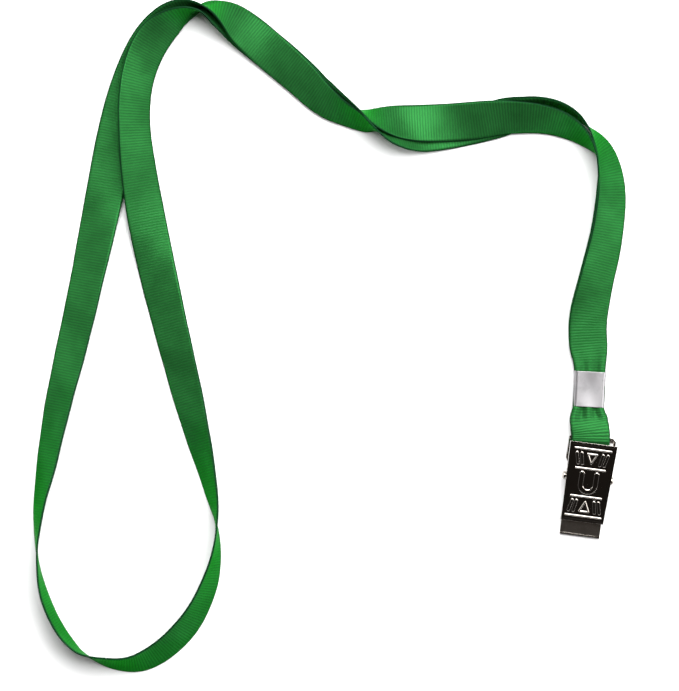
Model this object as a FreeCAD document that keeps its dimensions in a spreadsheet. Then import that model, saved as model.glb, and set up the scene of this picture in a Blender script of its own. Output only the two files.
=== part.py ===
"""A ribbon lanyard with a crimp clamp and a sprung badge clip, lying flat.

The frame: +Y runs from the clip's jaws to its heel and on to the ribbon, +X is across the clip,
+Z is up.  The origin is on the underside of the lower jaw, straight below the pivot pin.
"""
import FreeCAD, Part
import math
import os

import Sketcher

Vector = FreeCAD.Vector

# Driving dimensions in millimetres, kept in the document's sheet under these names.
SIZES = {
    "ribbon_width": 12.0,
    "ribbon_thickness": 0.7,
    "ribbon_gap": 0.3,
    "gauge": 0.6,
    "jaw_tip": 18.6,
    "tip_lip": 1.2,
    "lower_front_half": 6.3,
    "lower_heel_half": 7.4,
    "lower_waist": 3.5,
    "ramp_foot": 5.5,
    "ramp_head": 9.5,
    "slot_front": 9.9,
    "bar_front": 11.6,
    "lower_heel": 13.2,
    "slot_half": 6.6,
    "corner_cut": 1.0,
    "bar_height": 2.4,
    "upper_front": 14.0,
    "upper_heel": 11.0,
    "upper_front_half": 6.7,
    "upper_heel_half": 7.4,
    "upper_front_top": 3.4,
    "upper_heel_top": 11.0,
    "flange_depth": 1.8,
    "lip_clearance": 0.05,
    "pin_height": 4.2,
    "pin_radius": 0.8,
    "pin_play": 0.05,
    "pin_grip_half": 7.25,
    "pin_head_radius": 1.3,
    "pin_head_length": 0.9,
    "pin_crown_radius": 0.715,
    "ear_radius": 1.9,
    "ear_half_length": 2.8,
    "lower_ear_outer": 6.25,
    "lower_ear_inner": 5.65,
    "spring_wire": 0.6,
    "spring_radius": 1.35,
    "spring_pitch": 0.72,
    "spring_turns": 6.0,
    "spring_reach_up": 6.3,
    "spring_reach_down": 5.0,
    "spring_tip_drop": 0.48,
    "fold_radius": 1.2,
    "loop_shift": 0.3,
    "neck_half": 4.3,
    "neck_layer_gap": 0.8,
    "gather_start": 15.0,
    "tail_step_start": 0.3,
    "tail_step_end": 3.0,
    "tail_run_out": 9.0,
    "crimp_wall": 0.5,
    "crimp_inner_width": 9.0,
    "crimp_length": 11.2,
    "crimp_seam": 0.3,
    "crimp_start": 22.0,
    "crimp_offset": 2.6,
    "crimp_turn": 4.5,
}

# The ribbon's two neck strands, from above the crimp to where they meet at the foot of the loop.
# Each is a list of (x, y) corners in millimetres.  The strand called right lies on the other one
# and takes the inside of the first corner.
RIGHT_ROUTE = [
    (-4.5, 38.5), (-6.0, 47.5), (-5.5, 59.0), (-4.0, 72.5), (-3.5, 87.0), (-6.0, 98.5),
    (-11.5, 106.5), (-21.5, 111.0), (-32.5, 110.5), (-45.0, 108.5), (-59.0, 105.0), (-71.5, 103.0),
    (-82.5, 103.5), (-92.5, 105.5), (-106.0, 112.5), (-124.0, 125.5), (-135.0, 131.5), (-146.0, 130.0),
    (-153.0, 121.5), (-157.0, 109.5), (-158.0, 97.5), (-155.0, 84.5), (-150.0, 68.5), (-143.5, 49.0),
    (-135.5, 28.5), (-127.0, 8.0), (-119.5, -11.5), (-114.0, -28.5), (-112.5, -45.0), (-116.5, -60.0),
    (-123.0, -71.5), (-132.0, -78.0), (-142.0, -78.0),
]
LEFT_ROUTE = [
    (-4.5, 38.5), (-6.0, 47.5), (-5.5, 59.0), (-4.0, 72.5), (-3.5, 87.0), (-5.5, 99.0),
    (-11.0, 109.5), (-21.0, 116.0), (-33.5, 116.0), (-45.0, 111.0), (-55.5, 104.0), (-66.5, 101.0),
    (-77.5, 101.0), (-89.5, 104.5), (-106.0, 112.5), (-124.0, 125.5), (-135.0, 131.5), (-146.0, 130.0),
    (-154.0, 121.5), (-158.5, 110.0), (-161.0, 97.5), (-161.5, 83.5), (-162.0, 65.0), (-164.0, 44.5),
    (-165.5, 22.0), (-168.0, -0.5), (-169.5, -21.5), (-169.5, -40.5), (-166.5, -56.5), (-162.5, -66.5),
    (-156.0, -75.0), (-149.5, -78.0), (-142.0, -78.0),
]
# The last points of the upper strand come down to the surface, where its end meets the other's.
LANDED_POINTS = 2
# An arc at a corner of a route starts this share of the shorter run away from the corner.
ARC_SHARE = 0.45

doc = FreeCAD.newDocument("LanyardBadgeHolder")
sheet = doc.addObject("Spreadsheet::Sheet", "Sizes")
for row, (alias, value) in enumerate(SIZES.items(), start=1):
    sheet.set(f"A{row}", alias)
    sheet.set(f"B{row}", str(value))
    sheet.setAlias(f"B{row}", alias)
doc.recompute()


def size(alias):
    """A driving dimension, read back from the sheet."""
    return float(sheet.get(alias))


def in_sheet(formula):
    """The formula with each alias written as a reference to the sheet."""
    words = []
    for word in formula.replace("(", " ( ").replace(")", " ) ").split():
        words.append(f"<<Sizes>>.{word}" if word in SIZES else word)
    return " ".join(words)


def new_body(label):
    """An empty PartDesign body with its label."""
    body = doc.addObject("PartDesign::Body", label)
    body.Label = label
    return body


def new_sketch(body, name, role):
    """An empty sketch on one of the body's own origin planes."""
    sketch = body.newObject("Sketcher::SketchObject", name)
    plane = [feature for feature in body.Origin.OriginFeatures if feature.Role == role][0]
    sketch.AttachmentSupport = [(plane, "")]
    sketch.MapMode = "FlatFace"
    return sketch


def bind(sketch, kind, first, second, formula):
    """Add a distance from the sketch's origin, driven by the sheet."""
    index = sketch.addConstraint(Sketcher.Constraint(kind, -1, 1, first, second, 1.0))
    sketch.setExpression(f"Constraints[{index}]", in_sheet(formula))


def add_outline(sketch, corners):
    """Add a closed outline of straight edges; each corner is a pair of formulas."""
    values = [(evaluate(across), evaluate(along)) for across, along in corners]
    start = sketch.GeometryCount
    count = len(values)
    for here, there in zip(values, values[1:] + values[:1]):
        sketch.addGeometry(Part.LineSegment(Vector(*here, 0), Vector(*there, 0)), False)
    for index in range(count):
        following = start + (index + 1) % count
        sketch.addConstraint(Sketcher.Constraint("Coincident", start + index, 2, following, 1))
    for index, (across, along) in enumerate(corners):
        bind(sketch, "DistanceX", start + index, 1, across)
        bind(sketch, "DistanceY", start + index, 1, along)


def add_circle(sketch, across, along, radius):
    """Add a circle; its centre and radius are formulas."""
    centre = Vector(evaluate(across), evaluate(along), 0)
    index = sketch.addGeometry(Part.Circle(centre, Vector(0, 0, 1), evaluate(radius)), False)
    bind(sketch, "DistanceX", index, 3, across)
    bind(sketch, "DistanceY", index, 3, along)
    ring = sketch.addConstraint(Sketcher.Constraint("Radius", index, evaluate(radius)))
    sketch.setExpression(f"Constraints[{ring}]", in_sheet(radius))


def evaluate(formula):
    """The value of a formula over the sheet's aliases."""
    return float(sheet.evalExpression(in_sheet(formula)))


def pad(body, name, sketch, length):
    """Pad a sketch by a formula's length, half to each side of its plane."""
    feature = body.newObject("PartDesign::Pad", name)
    feature.Profile = sketch
    feature.Midplane = True
    feature.setExpression("Length", in_sheet(length))
    sketch.Visibility = False
    doc.recompute()
    return feature


def pocket(body, name, sketch, length):
    """Cut a sketch out of the body, half the length to each side, and check that it cut."""
    before = body.Shape.Volume
    feature = body.newObject("PartDesign::Pocket", name)
    feature.Profile = sketch
    feature.Midplane = True
    feature.setExpression("Length", in_sheet(length))
    sketch.Visibility = False
    doc.recompute()
    if not body.Shape.Volume < before - 1e-3:
        raise RuntimeError(f"{name} cuts nothing out of {body.Label}")
    return feature


def place(item, position, rotation=FreeCAD.Rotation()):
    """Set a sub-part's placement in the shared frame."""
    item.Placement = FreeCAD.Placement(position, rotation)


# Heights of the upper lever's sloping plate, as formulas of the distance y along the clip.
SLOPE = "( upper_heel_top - upper_front_top ) / ( upper_heel + upper_front )"


def plate_height(along, drop="0"):
    """Formula of the upper plate's height at a formula of y, less a drop."""
    return f"upper_front_top + ( {along} + upper_front ) * {SLOPE} - {drop}"


# The thickness of the sloping sheet measured straight down, as a share of its gauge.
DROP_SHARE = 1.045
UPPER_DROP = f"gauge * {DROP_SHARE}"
# The balls that join the spring's legs to its coil stand this much proud of the wire.
JOIN_SHARE = 1.01
# Room beyond the clip for outlines that cut right past it.
MARGIN = "3"
# A length that passes through the whole clip from side to side or from top to bottom.
THROUGH = "40"


def make_lower_jaw():
    """The lower lever: a flat plate with a tip lip, two ears and a slotted, raised heel."""
    body = new_body("lower_jaw")
    heel_low = "bar_height - gauge / 2"
    heel_high = "bar_height + gauge / 2"
    profile = new_sketch(body, "lower_profile", "YZ_Plane")
    add_outline(profile, [
        ("0 - jaw_tip", "0"), ("ramp_foot", "0"), ("ramp_head", heel_low), ("lower_heel", heel_low),
        ("lower_heel", heel_high), ("ramp_head", heel_high), ("ramp_foot", "gauge"),
        ("gauge - jaw_tip", "gauge"), ("gauge - jaw_tip", "tip_lip"), ("0 - jaw_tip", "tip_lip"),
    ])
    pad(body, "lower_plate", profile, "2 * lower_heel_half")

    for name, side in (("lower_trim_right", ""), ("lower_trim_left", "0 - ")):
        trim = new_sketch(body, name + "_plan", "XY_Plane")
        far = f"{side} ( lower_heel_half + {MARGIN} )"
        add_outline(trim, [
            (f"{side} lower_front_half", f"0 - jaw_tip - {MARGIN}"),
            (f"{side} lower_front_half", "lower_waist"),
            (f"{side} lower_heel_half", "ramp_foot"),
            (far, "ramp_foot"),
            (far, f"0 - jaw_tip - {MARGIN}"),
        ])
        pocket(body, name, trim, THROUGH)
        corner = new_sketch(body, name + "_corner_plan", "XY_Plane")
        add_outline(corner, [
            (f"{side} ( lower_heel_half - corner_cut )", "lower_heel"),
            (f"{side} lower_heel_half", "lower_heel - corner_cut"),
            (far, "lower_heel - corner_cut"),
            (far, f"lower_heel + {MARGIN}"),
            (f"{side} ( lower_heel_half - corner_cut )", f"lower_heel + {MARGIN}"),
        ])
        pocket(body, name + "_corner", corner, THROUGH)

    ears = new_sketch(body, "lower_ear_profile", "YZ_Plane")
    add_outline(ears, [
        ("0 - ear_half_length", "gauge / 2"), ("ear_half_length", "gauge / 2"),
        ("ear_radius", "pin_height"), ("0 - ear_radius", "pin_height"),
    ])
    pad(body, "lower_ears", ears, "2 * lower_ear_outer")
    crowns = new_sketch(body, "lower_ear_crown_profile", "YZ_Plane")
    add_circle(crowns, "0", "pin_height", "ear_radius")
    pad(body, "lower_ear_crowns", crowns, "2 * lower_ear_outer")
    middle = new_sketch(body, "lower_ear_gap_profile", "YZ_Plane")
    add_outline(middle, [
        (f"0 - ear_half_length - {MARGIN}", "gauge"), ("ear_half_length", "gauge"),
        ("ear_half_length", "pin_height + ear_radius + gauge"),
        (f"0 - ear_half_length - {MARGIN}", "pin_height + ear_radius + gauge"),
    ])
    pocket(body, "lower_ear_gap", middle, "2 * lower_ear_inner")

    holes = new_sketch(body, "lower_pin_hole_profile", "YZ_Plane")
    add_circle(holes, "0", "pin_height", "pin_radius + pin_play")
    pocket(body, "lower_pin_holes", holes, THROUGH)
    slot = new_sketch(body, "strap_slot_plan", "XY_Plane")
    add_outline(slot, [
        ("0 - slot_half", "slot_front"), ("slot_half", "slot_front"),
        ("slot_half", "bar_front"), ("0 - slot_half", "bar_front"),
    ])
    pocket(body, "strap_slot", slot, THROUGH)
    place(body, Vector(0, 0, 0))
    return body


def taper_plan(sketch, side, inset):
    """Outline of all that lies beyond one tapering side of the upper lever, less an inset."""
    far = f"{side} ( upper_heel_half + {MARGIN} )"
    steps = f"( upper_heel_half - upper_front_half ) / ( upper_heel + upper_front ) * {MARGIN}"
    front = f"{side} ( upper_front_half - {inset} - {steps} )"
    heel = f"{side} ( upper_heel_half - {inset} + {steps} )"
    add_outline(sketch, [
        (front, f"0 - upper_front - {MARGIN}"), (heel, f"upper_heel + {MARGIN}"),
        (far, f"upper_heel + {MARGIN}"), (far, f"0 - upper_front - {MARGIN}"),
    ])


def make_upper_blank():
    """The upper lever's outside, solid: sloping plate, side flanges, ears and front lip."""
    body = new_body("upper_blank")
    front_ear = "0 - ear_half_length"
    lip_back = "gauge - upper_front"
    flange = "flange_depth"
    profile = new_sketch(body, "upper_profile", "YZ_Plane")
    add_outline(profile, [
        ("0 - upper_front", "gauge + lip_clearance"), (lip_back, "gauge + lip_clearance"),
        (lip_back, plate_height(lip_back, flange)), (front_ear, plate_height(front_ear, flange)),
        ("0 - ear_radius", "pin_height"), ("ear_radius", "pin_height"),
        ("ear_half_length", plate_height("ear_half_length", flange)),
        ("upper_heel", f"upper_heel_top - {flange}"), ("upper_heel", "upper_heel_top"),
        ("0 - upper_front", "upper_front_top"),
    ])
    pad(body, "upper_block", profile, "2 * upper_heel_half")
    crowns = new_sketch(body, "upper_ear_crown_profile", "YZ_Plane")
    add_circle(crowns, "0", "pin_height", "ear_radius")
    pad(body, "upper_ear_crowns", crowns, "2 * upper_heel_half")
    for name, side in (("upper_trim_right", ""), ("upper_trim_left", "0 - ")):
        trim = new_sketch(body, name + "_plan", "XY_Plane")
        taper_plan(trim, side, "0")
        pocket(body, name, trim, THROUGH)
    holes = new_sketch(body, "upper_pin_hole_profile", "YZ_Plane")
    add_circle(holes, "0", "pin_height", "pin_radius + pin_play")
    pocket(body, "upper_pin_holes", holes, THROUGH)
    return body


def make_upper_hollow():
    """The space under the upper lever's plate, between its flanges and behind its lip."""
    body = new_body("upper_hollow")
    lip_back = "gauge - upper_front"
    beyond = f"upper_heel + {MARGIN}"
    profile = new_sketch(body, "hollow_profile", "YZ_Plane")
    add_outline(profile, [
        (lip_back, f"0 - {MARGIN}"), (beyond, f"0 - {MARGIN}"),
        (beyond, plate_height(beyond, UPPER_DROP)), (lip_back, plate_height(lip_back, UPPER_DROP)),
    ])
    pad(body, "hollow_block", profile, "2 * upper_heel_half")
    for name, side in (("hollow_trim_right", ""), ("hollow_trim_left", "0 - ")):
        trim = new_sketch(body, name + "_plan", "XY_Plane")
        taper_plan(trim, side, "gauge")
        pocket(body, name, trim, THROUGH)
    return body


def make_upper_jaw():
    """The upper lever: a tapering pressed channel with ears and a front lip."""
    jaw = doc.addObject("Part::Cut", "upper_jaw")
    jaw.Base = make_upper_blank()
    jaw.Tool = make_upper_hollow()
    jaw.Label = "upper_jaw"
    place(jaw, Vector(0, 0, 0))
    return jaw


def make_pivot_pin():
    """The pin through the four ears, with a low head at each end."""
    body = new_body("pivot_pin")
    profile = new_sketch(body, "pin_profile", "XY_Plane")
    head = "pin_grip_half"
    end = "( pin_grip_half + pin_head_length )"
    rim = "( pin_grip_half + pin_head_length / 2 )"
    crown = "pin_crown_radius"
    add_outline(profile, [
        (f"0 - {end}", "0"), (end, "0"), (end, crown), (rim, "pin_head_radius"),
        (head, "pin_head_radius"), (head, "pin_radius"), (f"0 - {head}", "pin_radius"),
        (f"0 - {head}", "pin_head_radius"), (f"0 - {rim}", "pin_head_radius"), (f"0 - {end}", crown),
    ])
    turned = body.newObject("PartDesign::Revolution", "pin_turned")
    turned.Profile = profile
    turned.ReferenceAxis = (profile, ["H_Axis"])
    turned.Angle = 360
    profile.Visibility = False
    doc.recompute()
    place(body, Vector(0, 0, size("pin_height")))
    return body


def make_torsion_spring():
    """The closing spring: a coil round the pin with one leg on each lever."""
    wire = size("spring_wire") / 2
    radius = size("spring_radius")
    pin_height = size("pin_height")
    length = size("spring_pitch") * size("spring_turns")
    slope = (size("upper_heel_top") - size("upper_front_top")) / (size("upper_heel") + size("upper_front"))
    reach_up = size("spring_reach_up")
    underside = size("upper_front_top") + (reach_up + size("upper_front")) * slope - size("gauge") * DROP_SHARE
    centre = (0.0, pin_height)
    up_end = (reach_up, underside - size("spring_tip_drop"))
    down_end = (size("spring_reach_down"), size("gauge") + wire)

    def tangent_angle(end, side):
        """Angle of the point of the coil whose tangent passes through a leg's end."""
        across, up = end[0] - centre[0], end[1] - centre[1]
        return math.atan2(up, across) + side * math.acos(radius / math.hypot(across, up))

    def coil_point(angle, x):
        return Vector(x, radius * math.cos(angle), pin_height + radius * math.sin(angle))

    start_angle = tangent_angle(up_end, 1)
    finish_angle = tangent_angle(down_end, -1)
    turns = round(size("spring_turns")) + ((finish_angle - start_angle) / (2 * math.pi)) % 1.0
    coil = Part.makeHelix(length / turns, length, radius)
    coil.rotate(Vector(0, 0, 0), Vector(0, 0, 1), math.degrees(start_angle))
    # The helix stands on Z and starts on X; X goes to Y, Y to Z and Z to X.
    to_pin = FreeCAD.Placement(Vector(-length / 2, 0, pin_height),
                               FreeCAD.Rotation(Vector(1, 1, 1), 120))
    coil.Placement = to_pin.multiply(coil.Placement)
    path = Part.Wire(coil.Edges)
    edge = path.OrderedEdges[0]
    begin = edge.valueAt(edge.FirstParameter)
    along = edge.tangentAt(edge.FirstParameter)
    section = Part.Wire(Part.makeCircle(wire, begin, along))
    shape = path.makePipeShell([section], True, True)
    for angle, x, end in ((start_angle, -length / 2, up_end), (finish_angle, length / 2, down_end)):
        root = coil_point(angle, x)
        tip = Vector(x, *end)
        shape = shape.fuse(Part.makeCylinder(wire, (tip - root).Length, root, tip - root))
        shape = shape.fuse(Part.makeSphere(wire * JOIN_SHARE, root))
        shape = shape.fuse(Part.makeSphere(wire, tip))
    spring = doc.addObject("Part::Feature", "torsion_spring")
    spring.Shape = shape
    spring.Label = "torsion_spring"
    place(spring, Vector(0, 0, 0))
    return spring


def make_crimp_clamp():
    """The folded sheet clamp round the ribbon, its seam underneath."""
    body = new_body("crimp_clamp")
    half = "( crimp_inner_width / 2 )"
    layers = "( 2 * ribbon_thickness + neck_layer_gap )"
    outer = new_sketch(body, "crimp_outer", "XZ_Plane")
    bevel = "crimp_wall"
    wide = f"( {half} + crimp_wall )"
    tall = f"( {layers} + 2 * crimp_wall )"
    add_outline(outer, [
        (f"{bevel} - {wide}", "0"), (f"{wide} - {bevel}", "0"), (wide, bevel), (wide, f"{tall} - {bevel}"),
        (f"{wide} - {bevel}", tall), (f"{bevel} - {wide}", tall), (f"0 - {wide}", f"{tall} - {bevel}"),
        (f"0 - {wide}", bevel),
    ])
    pad(body, "crimp_block", outer, "crimp_length")
    inner = new_sketch(body, "crimp_inner", "XZ_Plane")
    add_outline(inner, [
        (f"0 - {half}", "crimp_wall"), (half, "crimp_wall"),
        (half, f"crimp_wall + {layers}"), (f"0 - {half}", f"crimp_wall + {layers}"),
    ])
    pocket(body, "crimp_opening", inner, "2 * crimp_length")
    seam = new_sketch(body, "crimp_seam_section", "XZ_Plane")
    add_outline(seam, [
        ("0 - crimp_seam / 2", "0 - gauge"), ("crimp_seam / 2", "0 - gauge"),
        ("crimp_seam / 2", "crimp_wall + gauge / 4"), ("0 - crimp_seam / 2", "crimp_wall + gauge / 4"),
    ])
    pocket(body, "crimp_seam_cut", seam, "2 * crimp_length")
    turn = size("crimp_turn")
    half_length = size("crimp_length") / 2
    centre = Vector(
        -size("crimp_offset") - half_length * math.sin(math.radians(turn)),
        size("crimp_start") + half_length * math.cos(math.radians(turn)), 0)
    place(body, centre, FreeCAD.Rotation(Vector(0, 0, 1), turn))
    return body


def crimp_corner(side, end):
    """Plan point of the gathered ribbon's edge at the crimp's mouth (0) or top (1)."""
    turn = math.radians(size("crimp_turn"))
    along = end * size("crimp_length")
    across = side * size("neck_half")
    return (-size("crimp_offset") + across * math.cos(turn) - along * math.sin(turn),
            size("crimp_start") + across * math.sin(turn) + along * math.cos(turn))


def make_tail_section():
    """The doubled ribbon from the side: a fold round the strap bar and two legs."""
    body = new_body("tail_section")
    bar = "( ( bar_front + lower_heel ) / 2 )"
    outer = "( fold_radius + ribbon_thickness )"
    thick = "ribbon_thickness"
    low = "crimp_wall"
    high = "( crimp_wall + ribbon_thickness + neck_layer_gap )"
    layer = "( ribbon_thickness + ribbon_gap )"
    mouth = "( crimp_start - ribbon_thickness )"
    top = "( crimp_start + crimp_length )"
    step = f"( {top} + tail_step_start )"
    level = f"( {top} + tail_step_end )"
    end = f"( {top} + tail_run_out )"
    profile = new_sketch(body, "tail_profile", "YZ_Plane")
    add_outline(profile, [
        (bar, f"bar_height - {outer}"), (step, low), (level, "0"), (end, "0"),
        (end, f"{layer} + {thick}"), (level, f"{layer} + {thick}"),
        (step, f"{high} + {thick}"), (mouth, f"{high} + {thick}"),
        (f"{bar} + {outer}", f"bar_height + {outer}"), (bar, f"bar_height + {outer}"),
    ])
    pad(body, "tail_legs", profile, THROUGH)
    fold = new_sketch(body, "tail_fold_profile", "YZ_Plane")
    add_circle(fold, bar, "bar_height", outer)
    pad(body, "tail_fold", fold, THROUGH)
    between = new_sketch(body, "tail_gap_profile", "YZ_Plane")
    add_outline(between, [
        (bar, "bar_height - fold_radius"), (step, f"{low} + {thick}"),
        (level, thick), (f"{end} + 1", thick), (f"{end} + 1", layer),
        (level, layer), (step, high), (mouth, high),
        (f"{bar} + {outer}", "bar_height + fold_radius"), (bar, "bar_height + fold_radius"),
    ])
    pocket(body, "tail_gap", between, THROUGH)
    eye = new_sketch(body, "tail_eye_profile", "YZ_Plane")
    add_circle(eye, bar, "bar_height", "fold_radius")
    pocket(body, "tail_eye", eye, THROUGH)
    return body


def make_tail_plan():
    """The doubled ribbon from above: full width at the bar, gathered to fit the crimp."""
    half = size("ribbon_width") / 2
    shift = -size("loop_shift")
    fold_end = size("bar_front") - size("ribbon_width") / 2
    full_width_end = size("gather_start")
    start, following = Vector(*RIGHT_ROUTE[0], 0), Vector(*RIGHT_ROUTE[1], 0)
    along = (following - start).normalize()
    across = Vector(along.y, -along.x, 0) * half
    right_end, left_end = start + across, start - across
    corners = [
        (shift + half, fold_end), (shift + half, full_width_end), crimp_corner(1, 0), crimp_corner(1, 1),
        (right_end.x, right_end.y), (left_end.x, left_end.y),
        crimp_corner(-1, 1), crimp_corner(-1, 0), (shift - half, full_width_end), (shift - half, fold_end),
    ]
    outline = Part.makePolygon([Vector(x, y, -half) for x, y in corners + corners[:1]])
    plan = doc.addObject("Part::Feature", "tail_plan")
    plan.Shape = Part.Face(outline).extrude(Vector(0, 0, 2 * half))
    return plan


def make_tail_loop():
    """The ribbon's doubled stretch: round the strap bar and up through the crimp."""
    loop = doc.addObject("Part::Common", "tail_loop")
    loop.Base = make_tail_section()
    loop.Tool = make_tail_plan()
    loop.Label = "tail_loop"
    place(loop, Vector(0, 0, 0))
    return loop


def rounded_path(label, points):
    """Straight runs joined by tangent arcs, with each arc as large as its runs allow."""
    edges = []
    radii = []
    here = points[0]
    for before, corner, after in zip(points, points[1:], points[2:]):
        back = before - corner
        ahead = after - corner
        setback = ARC_SHARE * min(back.Length, ahead.Length)
        turn = math.pi - back.getAngle(ahead)
        radius = setback / math.tan(turn / 2)
        arc_start = corner + back.normalize() * setback
        arc_end = corner + ahead.normalize() * setback
        bisector = (back.normalize() + ahead.normalize()).normalize()
        middle = corner + bisector * (radius / math.cos(turn / 2) - radius)
        edges.append(Part.LineSegment(here, arc_start).toShape())
        edges.append(Part.Arc(arc_start, middle, arc_end).toShape())
        here = arc_end
        radii.append(round(radius, 1))
    edges.append(Part.LineSegment(here, points[-1]).toShape())
    print(label, "arc radii in mm:", radii)
    return Part.Wire(edges)


def make_neck_strand(label, route, height, end_height):
    """One neck strand: a level flat ribbon along its route, landed at its far end."""
    levels = [height] * (len(route) - LANDED_POINTS) + [end_height] * LANDED_POINTS
    points = [Vector(x, y, z) for (x, y), z in zip(route, levels)]
    path = rounded_path(label, points)
    half_width = size("ribbon_width") / 2
    half_thick = size("ribbon_thickness") / 2
    along = (points[1] - points[0]).normalize()
    across = Vector(along.y, -along.x, 0) * half_width
    rise = Vector(0, 0, half_thick)
    start = points[0]
    corners = [start + across + rise, start - across + rise, start - across - rise, start + across - rise]
    sweep = Part.BRepOffsetAPI.MakePipeShell(path)
    sweep.setBiNormalMode(Vector(0, 0, 1))
    sweep.add(Part.makePolygon(corners + corners[:1]))
    sweep.build()
    sweep.makeSolid()
    strand = doc.addObject("Part::Feature", label)
    strand.Shape = sweep.shape()
    strand.Label = label
    place(strand, Vector(0, 0, 0))
    expected = path.Length * size("ribbon_width") * size("ribbon_thickness")
    share = strand.Shape.Volume / expected
    print(f"{label}: {path.Length:.1f} mm long, volume {share:.4f} of section times length")
    if abs(share - 1) > 0.01:
        raise RuntimeError(f"{label} has the wrong volume")
    return strand


def make_all():
    """Every sub-part, in the order it would be put on the bench."""
    low = size("ribbon_thickness") / 2
    high = low + size("ribbon_thickness") + size("ribbon_gap")
    return [
        make_lower_jaw(),
        make_upper_jaw(),
        make_pivot_pin(),
        make_torsion_spring(),
        make_crimp_clamp(),
        make_tail_loop(),
        make_neck_strand("neck_ribbon_right", RIGHT_ROUTE, high, low),
        make_neck_strand("neck_ribbon_left", LEFT_ROUTE, low, low),
    ]


def check(items):
    """Stop if any object failed to build or any sub-part is not one valid solid."""
    for item in doc.Objects:
        if "Invalid" in item.State or "Error" in item.State:
            raise RuntimeError(f"{item.Label} failed: {item.State}")
    for item in items:
        shape = item.Shape
        if shape.isNull() or not shape.isValid() or len(shape.Solids) != 1:
            raise RuntimeError(f"{item.Label} is not one valid solid")
        box = shape.BoundBox
        print(f"{item.Label}: {shape.Volume:.1f} mm3, x {box.XMin:.2f} to {box.XMax:.2f},"
              f" y {box.YMin:.2f} to {box.YMax:.2f}, z {box.ZMin:.2f} to {box.ZMax:.2f}")


sub_parts = make_all()
doc.recompute()
check(sub_parts)
os.makedirs("parts", exist_ok=True)
for sub_part in sub_parts:
    sub_part.Shape.exportStep(f"parts/{sub_part.Label}.step")
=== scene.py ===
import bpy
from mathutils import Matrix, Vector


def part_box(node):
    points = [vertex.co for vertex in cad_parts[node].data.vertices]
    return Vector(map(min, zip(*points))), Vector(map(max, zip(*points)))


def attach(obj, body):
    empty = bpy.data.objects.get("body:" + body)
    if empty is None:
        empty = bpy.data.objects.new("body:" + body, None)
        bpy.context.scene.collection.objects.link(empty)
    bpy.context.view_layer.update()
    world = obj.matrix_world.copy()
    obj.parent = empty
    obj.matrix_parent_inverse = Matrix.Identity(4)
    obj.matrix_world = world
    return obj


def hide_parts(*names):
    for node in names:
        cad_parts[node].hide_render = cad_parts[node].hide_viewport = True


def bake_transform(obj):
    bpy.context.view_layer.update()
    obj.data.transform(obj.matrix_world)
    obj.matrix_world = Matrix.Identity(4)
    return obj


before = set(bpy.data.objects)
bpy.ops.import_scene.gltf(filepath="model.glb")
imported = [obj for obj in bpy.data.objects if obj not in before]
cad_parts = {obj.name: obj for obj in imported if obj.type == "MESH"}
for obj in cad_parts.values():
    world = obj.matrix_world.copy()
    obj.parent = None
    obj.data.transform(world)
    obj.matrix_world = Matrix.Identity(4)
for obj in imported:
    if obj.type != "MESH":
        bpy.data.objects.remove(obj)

"""Looks of a ribbon lanyard with a crimp and a sprung badge clip, lying flat on a pale table."""

import logging
import math
from dataclasses import dataclass, field
from enum import Enum
from typing import Callable, Sequence, Union

import bmesh
import bpy
import numpy as np
from mathutils import Vector

MM = 0.001
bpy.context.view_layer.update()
LOG = logging.getLogger("lanyard")

Point = tuple[float, float, float]
Row = tuple[float, float, float, float]
Socket = bpy.types.NodeSocket
Value = Union[Socket, float, None]
Tint = Union[Socket, tuple[float, float, float, float]]
FULL_TURN = 2.0 * math.pi


class Body(str, Enum):
    """The CAD bodies that pieces ride on."""

    STRAP = "strap"
    CLIP_BASE = "clip_base"
    CLIP_LEVER = "clip_lever"


class Slot(str, Enum):
    """The record's material slots."""

    RIBBON = "ribbon"
    CRIMP = "crimp_metal"
    CLIP = "clip_metal"
    SPRING = "spring_steel"


# ---------------------------------------------------------------------------------------------
# Shader building


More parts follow.
